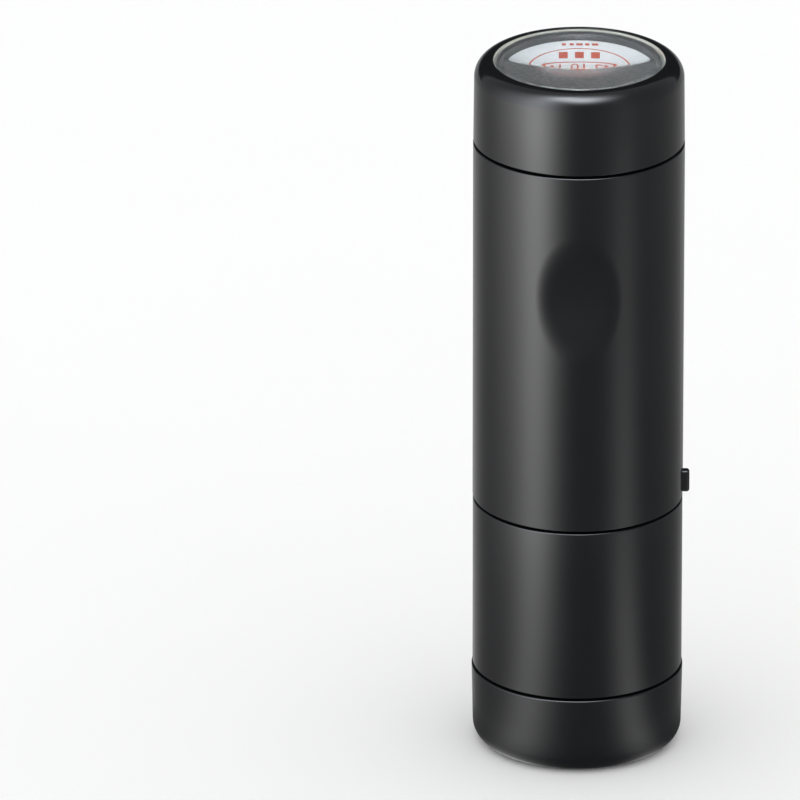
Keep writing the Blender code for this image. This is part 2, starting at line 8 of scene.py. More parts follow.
import bmesh
import bpy
import numpy as np
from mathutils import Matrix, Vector


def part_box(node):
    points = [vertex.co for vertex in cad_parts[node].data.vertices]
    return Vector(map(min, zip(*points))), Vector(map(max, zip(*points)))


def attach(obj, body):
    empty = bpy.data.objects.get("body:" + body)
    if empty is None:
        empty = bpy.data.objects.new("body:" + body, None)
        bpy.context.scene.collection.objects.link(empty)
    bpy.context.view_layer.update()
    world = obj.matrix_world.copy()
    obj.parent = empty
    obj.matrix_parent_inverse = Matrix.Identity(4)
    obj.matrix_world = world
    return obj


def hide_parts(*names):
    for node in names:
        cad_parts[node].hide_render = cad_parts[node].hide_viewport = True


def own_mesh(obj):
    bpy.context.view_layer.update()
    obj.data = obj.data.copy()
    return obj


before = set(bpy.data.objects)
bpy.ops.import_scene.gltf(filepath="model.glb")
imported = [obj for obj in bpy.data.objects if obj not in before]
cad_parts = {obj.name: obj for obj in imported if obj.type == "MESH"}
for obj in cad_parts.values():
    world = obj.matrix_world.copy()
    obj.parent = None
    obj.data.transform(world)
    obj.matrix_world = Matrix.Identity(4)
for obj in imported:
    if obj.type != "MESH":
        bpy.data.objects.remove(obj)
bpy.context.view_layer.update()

MM = 0.001
TAU = 2 * math.pi
DATUM = 0.95        # heights are counted from here, which is this far above the foot
FINE = 224          # steps round a big moulding
COARSE = 96         # steps round a small turned piece


# ---------------------------------------------------------------------------------------- sizes
def round_size(node):
    """Outer radius, foot and top of a round CAD piece on the stamp's axis, in millimetres from the datum."""
    low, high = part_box(node)
    return (high.y - low.y) / 2 / MM, low.z / MM - DATUM, high.z / MM - DATUM


CAP_R, CAP_FOOT, CAP_TOP = round_size("cap_shell")
HOUSING_R, SPIGOT_FOOT, HOUSING_TOP = round_size("lower_housing")
BARREL_R, BARREL_FOOT, BARREL_TOP = round_size("barrel")
CROWN_R, CROWN_SPIGOT, CROWN_TOP = round_size("crown")
LENS_SAG = 1.5      # how far the lens bulges below its rim
LENS_RIM = round_size("index_lens")[1] + LENS_SAG
LENS_SEAT = LENS_RIM - 0.3
SKIRT_R, SKIRT_FOOT, SKIRT_TOP = round_size("skirt")
GUIDE_R, GUIDE_FOOT, GUIDE_TOP = round_size("guide_tube")
DIE_R, DIE_FOOT, DIE_TOP = round_size("name_die")
PAD_R, PAD_FOOT, PAD_TOP = round_size("ink_pad")
HOLDER_R, HOLDER_FOOT, HOLDER_TOP = round_size("die_holder")
SEAL_R, SEAL_FOOT, SEAL_TOP = round_size("cap_pad")
RING_R, RING_FOOT, RING_TOP = round_size("guide_ring")
CHASSIS_R, CHASSIS_FOOT, CHASSIS_TOP = round_size("chassis_ring")
CARD_LIFT = 0.15    # the card lies this much nearer to the lens than its CAD disc
CARD_R, CARD_FOOT, CARD_TOP = round_size("index_label") + np.array([0, CARD_LIFT, CARD_LIFT])
SEAT_R, SEAT_FOOT, SEAT_TOP = round_size("label_seat")
SPRING_R, SPRING_FOOT, SPRING_TOP = round_size("return_spring")
WHEEL_R, WHEEL_LOW, WHEEL_HIGH = round_size("date_wheel_1")
WHEEL_Z = (WHEEL_LOW + WHEEL_HIGH) / 2
WHEELS = 5


# ------------------------------------------------------------------------------- mesh building
def grid_faces(rows, cols, wrap_rows=False, wrap_cols=True):
    """Quads over a grid of points held row by row. A wrapped direction joins its last line to its first."""
    row, col = np.meshgrid(
        np.arange(rows if wrap_rows else rows - 1),
        np.arange(cols if wrap_cols else cols - 1),
        indexing="ij",
    )
    below, beside = (row + 1) % rows, (col + 1) % cols
    corners = (row * cols + col, below * cols + col, below * cols + beside, row * cols + beside)
    return np.stack(corners, -1).reshape(-1, 4).tolist()


def flipped(faces):
    return [face[::-1] for face in faces]


def new_piece(name, points, faces, body, material, replaces=(), crease=35):
    """A mesh object from arrays in millimetres. Doubled points at seams and poles are merged."""
    mesh = bpy.data.meshes.new(name)
    mesh.from_pydata((np.asarray(points) + [0, 0, DATUM]) * MM, [], faces)
    return dress(mesh, name, body, material, replaces, crease)


def dress(mesh, name, body, material, replaces=(), crease=35, merge=True):
    """Cleans a mesh, shades it smooth between its creases, and puts it on its body in its material."""
    if merge:
        shape = bmesh.new()
        shape.from_mesh(mesh)
        bmesh.ops.remove_doubles(shape, verts=shape.verts, dist=1e-7)
        shape.to_mesh(mesh)
        shape.free()
    mesh.shade_smooth()
    mesh.set_sharp_from_angle(angle=math.radians(crease))
    piece = bpy.data.objects.new(name, mesh)
    bpy.context.scene.collection.objects.link(piece)
    mesh.materials.clear()
    mesh.materials.append(material)
    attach(piece, body)
    if replaces:
        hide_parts(*([replaces] if isinstance(replaces, str) else replaces))
    return piece


def joined(*parts):
    """Several (points, faces) pairs as one pair."""
    points, faces, start = [], [], 0
    for some_points, some_faces in parts:
        points.append(some_points)
        faces += [[start + i for i in face] for face in some_faces]
        start += len(some_points)
    return np.concatenate(points), faces


def rounded(corners, closed, steps=5):
    """An outline through (r, z, fillet) corners, where each fillet is the arc that touches both its sides."""
    given = [(np.array(c[:2], float), c[2] if len(c) > 2 else 0.0) for c in corners]
    count, line = len(given), []
    for i, (here, fillet) in enumerate(given):
        if fillet == 0 or (not closed and i in (0, count - 1)):
            line.append(here[None])
            continue
        back = given[i - 1][0] - here
        ahead = given[(i + 1) % count][0] - here
        back, ahead = back / np.linalg.norm(back), ahead / np.linalg.norm(ahead)
        half = math.acos(np.clip(back @ ahead, -1, 1)) / 2
        if half > 1.56:
            line.append(here[None])
            continue
        middle = here + (back + ahead) / np.linalg.norm(back + ahead) * fillet / math.sin(half)
        start = here + back * fillet / math.tan(half) - middle
        end = here + ahead * fillet / math.tan(half) - middle
        sweep = math.pi - 2 * half
        k = np.linspace(0, 1, steps + 1)[:, None]
        line.append(middle + (np.sin((1 - k) * sweep) * start + np.sin(k * sweep) * end) / math.sin(sweep))
    return np.concatenate(line)


def revolve(outline, steps=COARSE):
    """The outline (r, z) carried round Z: x = r cos a, y = r sin a."""
    angle = np.arange(steps) / steps * TAU
    r, z = outline[:, :1], outline[:, 1:]
    return np.stack([r * np.cos(angle), r * np.sin(angle), z + 0 * angle], -1)


def turned(name, corners, body, material, replaces=(), steps=COARSE, fillet_steps=5, crease=35):
    """A turned piece from (r, z, fillet) corners that run down its outer side. It closes on itself or on Z."""
    on_axis = corners[0][0] == 0 and corners[-1][0] == 0
    outline = rounded(corners, not on_axis, fillet_steps)
    points = revolve(outline, steps)
    faces = grid_faces(len(outline), steps, wrap_rows=not on_axis)
    return new_piece(name, points.reshape(-1, 3), faces, body, material, replaces, crease)


def tube(path, radius, sides=16):
    """A round wire along a path: at each point the section lies across the path, on axes that turn as little as
    they can. Both ends close in a small dome."""
    path = np.asarray(path, float)
    along = np.gradient(path, axis=0)
    along /= np.linalg.norm(along, axis=1)[:, None]
    up = np.tile(np.array([0.0, 0.0, 1.0]), (len(path), 1))
    side = np.cross(along, up)
    side /= np.linalg.norm(side, axis=1)[:, None]
    over = np.cross(side, along)
    angle = np.arange(sides) / sides * TAU
    ring = np.cos(angle)[None, :, None] * side[:, None] + np.sin(angle)[None, :, None] * over[:, None]
    cap = np.sin(np.linspace(0, math.pi / 2, 5))
    body = path[:, None] + radius * ring
    lead = path[0] - along[0] * radius * np.cos(np.arcsin(cap))[:, None]
    tail = path[-1] + along[-1] * radius * np.cos(np.arcsin(cap[::-1]))[:, None]
    first = lead[:, None] + radius * cap[:, None, None] * ring[0]
    last = tail[:, None] + radius * cap[::-1][:, None, None] * ring[-1]
    rows = np.concatenate([first, body[1:-1], last])
    return rows.reshape(-1, 3), flipped(grid_faces(len(rows), sides))


# ----------------------------------------------------------------------------------- materials
def linear(text):
    """An sRGB hex colour as linear RGBA."""
    parts = np.array([int(text[i:i + 2], 16) for i in (1, 3, 5)]) / 255
    flat = np.where(parts <= 0.04045, parts / 12.92, ((parts + 0.055) / 1.055) ** 2.4)
    return (*flat.tolist(), 1.0)


def add(tree, kind, sockets=None, **settings):
    """Adds a node. Settings are its own properties; sockets maps an input to a value or to a socket to link."""
    made = tree.nodes.new(kind)
    for name, value in settings.items():
        setattr(made, name, value)
    for name, value in (sockets or {}).items():
        if isinstance(value, bpy.types.NodeSocket):
            tree.links.new(value, made.inputs[name])
        else:
            made.inputs[name].default_value = value
    return made


def new_material(name, **constants):
    """A material with one Principled shader, its constants set on the shader's own sockets."""
    material = bpy.data.materials.new(name)
    material.use_nodes = True
    shader = material.node_tree.nodes["Principled BSDF"]
    for socket, value in constants.items():
        shader.inputs[socket.replace("_", " ")].default_value = value
    return material, material.node_tree, shader


def grain(tree, size_mm, detail=2.0, roughness=0.5, stretch=(1, 1, 1)):
    """Noise on object coordinates whose grains are about size_mm across."""
    place = add(tree, "ShaderNodeTexCoord").outputs["Object"]
    scale = Vector(stretch) * (1 / (size_mm * MM))
    mapped = add(tree, "ShaderNodeMapping", {"Vector": place, "Scale": scale}).outputs["Vector"]
    sockets = {"Vector": mapped, "Scale": 1.0, "Detail": detail, "Roughness": roughness}
    return add(tree, "ShaderNodeTexNoise", sockets).outputs["Fac"]


def spread(tree, value, low, high, cut=(0.3, 0.7)):
    """A noise value stretched from its cut to a range of numbers."""
    sockets = {"Value": value, "From Min": cut[0], "From Max": cut[1], "To Min": low, "To Max": high}
    return add(tree, "ShaderNodeMapRange", sockets).outputs["Result"]


def tint(tree, value, low, high):
    """A colour between two hex colours."""
    factor, first, second, result = 0, 6, 7, 2      # the colour sockets of a mix node
    sockets = {factor: value, first: linear(low), second: linear(high)}
    return add(tree, "ShaderNodeMix", sockets, data_type="RGBA").outputs[result]


def bump(tree, height, depth_mm, strength=1.0):
    sockets = {"Height": height, "Distance": depth_mm * MM, "Strength": strength}
    return add(tree, "ShaderNodeBump", sockets).outputs["Normal"]


def moulded_abs(name, dark, pale, gloss, grain_mm=0.25, depth_mm=0.0006):
    """Injection moulded ABS from a polished tool: a glossy skin with a very shallow grain, and faint handling
    marks some millimetres across that change its gloss."""
    material, tree, shader = new_material(name, IOR=1.5, Metallic=0.0)
    links = tree.links
    cloud = grain(tree, 9.0, detail=3.0)
    links.new(tint(tree, spread(tree, cloud, 0.0, 1.0), dark, pale), shader.inputs["Base Color"])
    marks = grain(tree, 2.4, detail=5.0, roughness=0.65)
    links.new(spread(tree, marks, gloss - 0.02, gloss + 0.035), shader.inputs["Roughness"])
    links.new(bump(tree, grain(tree, grain_mm), depth_mm), shader.inputs["Normal"])
    return material


def natural_acetal(name, dark, pale):
    """Injection moulded acetal: a waxy white that lets a little light in, smooth, with weak flow marks."""
    material, tree, shader = new_material(name, IOR=1.48, Subsurface_Weight=0.12, Subsurface_Scale=0.6 * MM)
    flow = grain(tree, 5.0, detail=4.0, stretch=(1, 1, 0.4))
    tree.links.new(tint(tree, spread(tree, flow, 0.0, 1.0), dark, pale), shader.inputs["Base Color"])
    tree.links.new(spread(tree, grain(tree, 1.2), 0.30, 0.42), shader.inputs["Roughness"])
    tree.links.new(bump(tree, grain(tree, 0.18), 0.002), shader.inputs["Normal"])
    return material


def drawn_steel(name):
    """Bright drawn steel wire and blanked strip: fine lines along the draw and a few duller patches."""
    material, tree, shader = new_material(name, Metallic=1.0)
    lines = grain(tree, 0.12, detail=3.0, stretch=(1, 1, 0.06))
    tree.links.new(tint(tree, spread(tree, lines, 0.0, 1.0), "#9d9ea1", "#c9cacc"), shader.inputs["Base Color"])
    tree.links.new(spread(tree, grain(tree, 1.6, detail=4.0), 0.2, 0.36), shader.inputs["Roughness"])
    tree.links.new(bump(tree, lines, 0.002), shader.inputs["Normal"])
    return material


def moulded_rubber(name, dark, pale, rough=0.55, grain_mm=0.3):
    """Compression moulded rubber: matt, with a soft leathery grain and ink or dust in its hollows."""
    material, tree, shader = new_material(name, IOR=1.52)
    stain = grain(tree, 1.8, detail=5.0, roughness=0.6)
    tree.links.new(tint(tree, spread(tree, stain, 0.0, 1.0), dark, pale), shader.inputs["Base Color"])
    tree.links.new(spread(tree, stain, rough - 0.08, rough + 0.1), shader.inputs["Roughness"])
    tree.links.new(bump(tree, grain(tree, grain_mm, detail=3.0), 0.012), shader.inputs["Normal"])
    return material


def soaked_felt(name):
    """Pressed wool felt full of oil ink: crossing fibres, deep orange red, wet in places."""
    material, tree, shader = new_material(name, IOR=1.45)
    fibres = grain(tree, 0.25, detail=6.0, roughness=0.7, stretch=(1, 1, 2.5))
    tree.links.new(tint(tree, spread(tree, fibres, 0.0, 1.0), "#7c1c08", "#c8431c"), shader.inputs["Base Color"])
    tree.links.new(spread(tree, grain(tree, 1.1), 0.35, 0.8), shader.inputs["Roughness"])
    tree.links.new(bump(tree, fibres, 0.05), shader.inputs["Normal"])
    return material


def clear_acrylic(name):
    """Polished cast acrylic, IOR 1.49. Faint polishing haze breaks its gloss a little, and a film of dust scatters
    a twentieth of the light."""
    material, tree, shader = new_material(name, IOR=1.49)
    tree.links.new(spread(tree, grain(tree, 0.5, detail=5.0), 0.94, 0.97), shader.inputs["Transmission Weight"])
    shader.inputs["Base Color"].default_value = linear("#fafcfc")
    tree.links.new(spread(tree, grain(tree, 0.9, detail=4.0), 0.0, 0.012), shader.inputs["Roughness"])
    return material


def printed_card(name):
    """Coated white card: smooth, slightly cool, with the mottle of its coating."""
    material, tree, shader = new_material(name, IOR=1.5)
    mottle = grain(tree, 0.35, detail=4.0)
    tree.links.new(tint(tree, spread(tree, mottle, 0.0, 1.0), "#f1f1f0", "#fbfbfb"), shader.inputs["Base Color"])
    tree.links.new(spread(tree, mottle, 0.45, 0.55), shader.inputs["Roughness"])
    return material


def print_ink(name):
    """Screen printed orange red ink: flat, with the slight starve of the mesh at its edges."""
    material, tree, shader = new_material(name, IOR=1.5)
    starve = grain(tree, 0.16, detail=3.0)
    tree.links.new(tint(tree, spread(tree, starve, 0.0, 1.0), "#c2431f", "#d9582f"), shader.inputs["Base Color"])
    tree.links.new(spread(tree, starve, 0.45, 0.6), shader.inputs["Roughness"])
    return material


BLACK_ABS = moulded_abs("moulded polished black ABS", "#141517", "#17181a", 0.14)
LEVER_ABS = moulded_abs("moulded black lever ABS", "#17181a", "#1c1d1f", 0.28)
GREY_ABS = moulded_abs("moulded dark grey ABS", "#3a3c40", "#45474b", 0.38)
FRAME_ACETAL = natural_acetal("moulded natural acetal", "#d8d4c8", "#e6e3da")
WHEEL_ACETAL = natural_acetal("moulded white acetal", "#e4e3de", "#efeeea")
STEEL = drawn_steel("drawn spring steel")
BAND_RUBBER = moulded_rubber("moulded date band rubber", "#5a1c12", "#7a2c1c")
DIE_RUBBER = moulded_rubber("inked die rubber", "#93290f", "#b8431f")
SEAL_RUBBER = moulded_rubber("moulded black seal rubber", "#1b1b1c", "#262627", 0.6)
INK_FELT = soaked_felt("ink soaked felt")
ACRYLIC = clear_acrylic("polished clear acrylic")
CARD = printed_card("coated white card")
INK = print_ink("screen printed orange ink")


# ---------------------------------------------------------------------------------- mouldings
CAP_FLOOR, CAP_BORE = 1.5, 10.85
CAP_FILLET, CAP_DRAFT = 2.1, 0.19
FOOT_R, FOOT_RECESS = 9.2, 0.25


def cap():
    """The cap tapers to its round-edged foot, which stands on a flat ring. Its bore opens towards the lip."""
    corners = [
        (0, CAP_FLOOR),
        (CAP_BORE, CAP_FLOOR, 0.6),
        (CAP_BORE + 0.1, CAP_TOP, 0.12),
        (CAP_R, CAP_TOP, 0.16),
        (CAP_R - CAP_DRAFT, CAP_FOOT, CAP_FILLET),
        (FOOT_R, CAP_FOOT, 0.1),
        (FOOT_R - FOOT_RECESS, CAP_FOOT + FOOT_RECESS, 0.1),
        (0, CAP_FOOT + FOOT_RECESS),
    ]
    turned("cap_moulding", corners, "cap", BLACK_ABS, "cap_shell", FINE, 10)
    pad = [
        (0, SEAL_TOP - 0.25),
        (7.6, SEAL_TOP - 0.25, 0.1),
        (7.9, SEAL_TOP, 0.1),
        (SEAL_R, SEAL_TOP, 0.2),
        (SEAL_R, SEAL_FOOT, 0.2),
        (0, SEAL_FOOT),
    ]
    turned("cap_sealing_pad", pad, "cap", SEAL_RUBBER, "cap_pad")


def housing():
    """The lower tube. Its spigot has a snap bead for the cap, and its bore widens upwards in two steps."""
    shoulder = CAP_TOP + 0.3
    spigot, bead, bead_z = 10.55, 10.72, 6.2
    low_bore, middle_bore, top_bore = 9.8, 10.3, 10.8
    low_step, top_step = 12.6, 22.0
    corners = [
        (HOUSING_R, HOUSING_TOP, 0.16),
        (HOUSING_R, shoulder, 0.12),
        (spigot, shoulder, 0.1),
        (spigot, bead_z + 0.4, 0.15),
        (bead, bead_z, 0.2),
        (spigot, bead_z - 0.4, 0.15),
        (spigot, SPIGOT_FOOT, 0.3),
        (low_bore, SPIGOT_FOOT, 0.15),
        (low_bore, low_step, 0.1),
        (middle_bore, low_step, 0.1),
        (middle_bore, top_step, 0.1),
        (top_bore, top_step, 0.1),
        (top_bore, HOUSING_TOP, 0.15),
    ]
    turned("housing_moulding", corners, "stamp_body", BLACK_ABS, "lower_housing", FINE)


def skirt():
    """The collar that stands on the paper, with a flange at its top for the spring."""
    flange, outer, bore = SKIRT_TOP - 1.0, 9.5, 8.8
    corners = [
        (SKIRT_R, SKIRT_TOP, 0.12),
        (SKIRT_R, flange, 0.12),
        (outer, flange, 0.1),
        (outer, SKIRT_FOOT, 0.25),
        (bore, SKIRT_FOOT, 0.15),
        (bore, SKIRT_TOP, 0.1),
    ]
    turned("paper_skirt", corners, "skirt_slide", GREY_ABS, "skirt", FINE)


NOTCH = (math.radians(-4.5), math.radians(20.2))   # the lever's window at the barrel's foot, as angles from +X
NOTCH_TOP = 32.3
DENT_Z, DENT_DEPTH, DENT_HALF_Z = 57.3, 0.76, 6.2


def dented_radius(radius, angle, z):
    """The barrel's radius with the thumb dent: a flat facet, hollow along Z on an arc of about 25 mm, meets the
    cylinder in a soft edge. The facet stands at h / cos(a) from the axis, and the smaller of the two radii
    counts, with a quadratic blend where they are close."""
    from_front = (angle + math.pi / 2 + math.pi) % TAU - math.pi
    hollow = (DENT_HALF_Z ** 2 + DENT_DEPTH ** 2) / (2 * DENT_DEPTH)
    facet = BARREL_R - DENT_DEPTH + (z - DENT_Z) ** 2 / (2 * hollow)
    facet = np.where(np.abs(from_front) < 1.2, facet / np.cos(np.clip(from_front, -1.2, 1.2)), 1e3)
    soft = 0.4
    near = np.maximum(soft - np.abs(radius - facet), 0) / soft
    return np.minimum(radius, facet) - near ** 2 * soft / 4


def barrel():
    """A tube whose foot line steps up over the lever's notch. Columns crowd at the notch's sides, so they stand
    upright, and across the front round the dent."""
    bore, bead = 10.4, 10.05
    low = [(BARREL_R, BARREL_FOOT, 0.16), (bore, BARREL_FOOT, 0.12), (bore, 43.0, 0.08), (bead, 43.0, 0.12)]
    high = [(bead, 44.0, 0.12), (bore, 44.0, 0.08), (bore, BARREL_TOP, 0.12), (BARREL_R, BARREL_TOP, 0.16)]
    section = rounded(low + high, True)
    start = int(np.argmin(np.abs(section[:, 1] - BARREL_FOOT - 0.16) + np.abs(section[:, 0] - BARREL_R) * 9))
    section = np.roll(section, -start, axis=0)
    wall_z = np.linspace(BARREL_TOP - 0.16, BARREL_FOOT + 0.16, 150)[1:-1]
    wall = np.stack([np.full_like(wall_z, BARREL_R), wall_z], 1)
    section = np.concatenate([section, wall])
    angle = np.linspace(0, TAU, FINE + 1)[:-1] + math.radians(40)
    front = -math.pi / 2 + np.linspace(-0.55, 0.55, 120)
    step = math.radians(0.05)
    sides = np.array([edge + shift for edge in NOTCH for shift in (-step, step)])
    angle = np.unique(np.round(np.concatenate([angle, front, sides]) % TAU, 7))
    r, z = section[:, :1], section[:, 1:]
    from_side = (angle + math.pi) % TAU - math.pi
    in_notch = (from_side > NOTCH[0]) & (from_side < NOTCH[1])
    low_part = np.clip((NOTCH_TOP + 0.6 - z) / (NOTCH_TOP + 0.6 - BARREL_FOOT), 0, 1)
    lifted = np.where(in_notch, z + low_part * (NOTCH_TOP - BARREL_FOOT), z + 0 * angle)
    outer = dented_radius(BARREL_R, angle, lifted)
    radius = np.where(r > BARREL_R - 0.02, outer, r + 0 * angle)
    points = np.stack([radius * np.cos(angle), radius * np.sin(angle), lifted], -1)
    faces = grid_faces(len(section), len(angle), wrap_rows=True)
    new_piece("barrel_moulding", points.reshape(-1, 3), faces, "barrel_slide", BLACK_ABS, "barrel")


def barrel_lug():
    """The small catch inside the barrel's foot that the lever holds."""
    points, faces = block((9.7, -1.85, 29.5), (11.0, -1.1, 30.8), 0.12, 2)
    new_piece("barrel_lug", points, faces, "barrel_slide", BLACK_ABS, ())


CROWN_BORE = 9.25
LENS_BORE = 9.74    # the crown round the lens


def crown():
    foot = BARREL_TOP + 0.3
    corners = [
        (CROWN_R, foot, 0.16),
        (10.1, foot, 0.1),
        (10.1, CROWN_SPIGOT, 0.3),
        (CROWN_BORE, CROWN_SPIGOT, 0.2),
        (CROWN_BORE, LENS_SEAT, 0.1),
        (LENS_BORE, LENS_SEAT, 0.1),
        (LENS_BORE, CROWN_TOP, 0.06),
        (LENS_BORE + 0.06, CROWN_TOP, 0.05),
        (CROWN_R - 0.1, CROWN_TOP, 2.1),
    ]
    turned("crown_moulding", corners, "crown_plug", BLACK_ABS, "crown", FINE, 14)


# --------------------------------------------------------------------------- lens and index card
LENS_R = 9.66
LENS_FLAT = 9.1     # where the flat top ends and the bevel starts
LENS_EDGE = 8.7     # where the flat rim ends and the bulge starts


def lens():
    """A flat polished top with a bevelled rim. The underside bulges: z = rim - sag (1 - (r / edge)^2)."""
    top, bevel = CROWN_TOP - 0.08, 0.35
    r = np.linspace(LENS_EDGE, 0, 40)
    under = np.stack([r, LENS_RIM - LENS_SAG * (1 - (r / LENS_EDGE) ** 2)], 1)
    corners = [
        (0, top),
        (LENS_FLAT, top, 0.03),
        (LENS_R, top - bevel, 0.06),
        (LENS_R, LENS_RIM, 0.08),
        (LENS_EDGE, LENS_RIM),
    ]
    outline = np.concatenate([rounded(corners, False)[:-1], under])
    points = revolve(outline, FINE)
    faces = grid_faces(len(outline), FINE)
    new_piece("crown_lens", points.reshape(-1, 3), faces, "crown_plug", ACRYLIC, "index_lens", 20)


def index_card():
    turned(
        "index_card",
        [(0, CARD_TOP), (CARD_R, CARD_TOP, 0.05), (CARD_R, CARD_FOOT, 0.05), (0, CARD_FOOT)],
        "crown_plug",
        CARD,
        "index_label",
        FINE,
    )
    deck = CARD_FOOT - 0.3
    seat = [
        (0, deck),
        (SEAT_R, deck, 0.1),
        (SEAT_R, SEAT_FOOT, 0.15),
        (SEAT_R - 1, SEAT_FOOT, 0.15),
        (SEAT_R - 1, SEAT_FOOT + 1.2, 0.15),
        (0, SEAT_FOOT + 1.2),
    ]
    turned("card_seat", seat, "crown_plug", FRAME_ACETAL, "label_seat", FINE)
    # A dark collar stands on the seat round the card, up to the lens. A pale gasket fills the gap round the lens:
    # it shows as a thin ring, and lights the lens's near half from inside.
    collar, inner = deck + 0.02, CARD_R + 0.3
    corners = [
        (inner, collar, 0.06),
        (inner, SEAT_TOP, 0.06),
        (SEAT_R, SEAT_TOP, 0.06),
        (SEAT_R, collar, 0.06),
    ]
    turned("card_collar", corners, "crown_plug", GREY_ABS, (), FINE, 3)
    low, high = LENS_SEAT + 0.02, CROWN_TOP - 0.12
    inner, outer = LENS_R + 0.01, LENS_BORE - 0.01
    corners = [(inner, low, 0.01), (inner, high, 0.02), (outer, high, 0.02), (outer, low, 0.01)]
    turned("lens_gasket", corners, "crown_plug", FRAME_ACETAL, (), FINE, 2)


cap()
housing()
skirt()
barrel()
crown()
lens()
index_card()


# ------------------------------------------------------------------- helpers for the small works
def ball_quarters(start, end, steps):
    """Angles from start to end in quarter turns, each quarter with both its ends, and the quarter of each."""
    count = round(abs(end - start) / (math.pi / 2))
    edges = np.linspace(start, end, count + 1)
    angle = np.concatenate([np.linspace(a, b, steps + 1) for a, b in zip(edges[:-1], edges[1:])])
    return angle, np.repeat(np.arange(count), steps + 1)


def block(low, high, fillet, steps=3):
    """A box with round edges and corners: each point of a ball of the fillet's radius, moved to the corner of the
    box that it faces. Its flat faces lie between the eighths of the ball."""
    low, high = np.array(low, float), np.array(high, float)
    turn, quarter = ball_quarters(0, TAU, steps)
    tilt, half = ball_quarters(math.pi / 2, -math.pi / 2, steps)
    sign_x, sign_y = np.array([1, -1, -1, 1])[quarter], np.array([1, 1, -1, -1])[quarter]
    sign_z = np.array([1, -1])[half]
    flat = 0 * tilt[:, None]
    way = np.stack([
        np.cos(tilt)[:, None] * np.cos(turn),
        np.cos(tilt)[:, None] * np.sin(turn),
        np.sin(tilt)[:, None] + 0 * turn,
    ], -1)
    corner = np.stack([flat + sign_x, flat + sign_y, sign_z[:, None] + 0 * turn], -1)
    middle, reach = (low + high) / 2, (high - low) / 2 - fillet
    points = middle + reach * corner + fillet * way
    top = np.tile(middle + [0, 0, (high - low)[2] / 2], (1, points.shape[1], 1))
    bottom = np.tile(middle - [0, 0, (high - low)[2] / 2], (1, points.shape[1], 1))
    points = np.concatenate([top, points, bottom])
    return points.reshape(-1, 3), grid_faces(points.shape[0], points.shape[1])


def bent_block(inner, outer, start, end, low, high, fillet, spans=14):
    """A block bent round Z: its x is the radius, its y the angle in degrees. Long sides get spans more rows."""
    middle = (inner + outer) / 2
    arc_low, arc_high = math.radians(start) * middle, math.radians(end) * middle
    corners = [(outer, high, fillet), (outer, low, fillet), (inner, low, fillet), (inner, high, fillet)]
    section = rounded(corners, True, 3)
    centre = section.mean(0)
    ease = np.linspace(0, 1, 5)
    round_off = fillet * (1 - np.cos(ease * math.pi / 2))
    width = np.sin(ease * math.pi / 2)
    lead = np.stack([arc_low + round_off, width], 1)
    body = np.stack([np.linspace(arc_low + fillet, arc_high - fillet, spans)[1:-1], np.ones(spans - 2)], 1)
    tail = np.stack([arc_high - round_off, width], 1)[::-1]
    rows = np.concatenate([[[arc_low, -1]], lead, body, tail, [[arc_high, -1]]])
    slim = 1 - fillet / ((outer - inner) / 2) * (1 - rows[:, 1])
    slim = np.where(rows[:, 1] < 0, 0, slim)
    shape = centre + (section - centre)[None] * slim[:, None, None]
    turn = (rows[:, 0] / middle)[:, None]
    r, z = shape[..., 0], shape[..., 1]
    points = np.stack([r * np.cos(turn), r * np.sin(turn), z], -1)
    return points.reshape(-1, 3), flipped(grid_faces(len(rows), len(section)))


def along_x(points, z=WHEEL_Z):
    """Points made round Z, laid over so that Z becomes X, and raised to the wheels' height."""
    return np.roll(points, 1, axis=-1) + [0, 0, z]


def turned_x(name, corners, body, material, replaces, steps=64):
    """A turned piece round the wheels' axle, from (r, x, fillet) corners that run towards -X on the outer side."""
    on_axis = corners[0][0] == 0 and corners[-1][0] == 0
    outline = rounded(corners, not on_axis, 4)
    points = along_x(revolve(outline, steps))
    return new_piece(name, points.reshape(-1, 3), grid_faces(len(outline), steps, wrap_rows=not on_axis), body,
                     material, replaces)


def loops_piece(name, loops, body, material, replaces, crease=35):
    """A ring-shaped piece: closed outlines with the same number of points, joined one to the next and the last to
    the first, down the outside and up the inside."""
    points = np.stack(loops)
    faces = grid_faces(len(loops), points.shape[1], wrap_rows=True)
    return new_piece(name, points.reshape(-1, 3), faces, body, material, replaces, crease)


def disc_loops(radius, slot_x, slot_y, low, high, fillet):
    """Outlines of a disc with a rectangular slot. Each point of the slot lies at the angle a of one on the circle,
    at the smaller of slot_x / |cos a| and slot_y / |sin a|."""
    angle = np.arange(FINE) / FINE * TAU
    circle = np.stack([np.cos(angle), np.sin(angle)], 1)
    reach = (np.array([slot_x, slot_y]) / np.maximum(np.abs(circle), 1e-9)).min(1)
    slot = circle * reach[:, None]
    outer = [(radius - fillet, high), (radius, high - fillet), (radius, low + fillet), (radius - fillet, low)]
    rings = [np.column_stack([circle * r, np.full(FINE, z)]) for r, z in outer]
    walls = [np.column_stack([slot, np.full(FINE, z)]) for z in (low, high)]
    return rings + walls


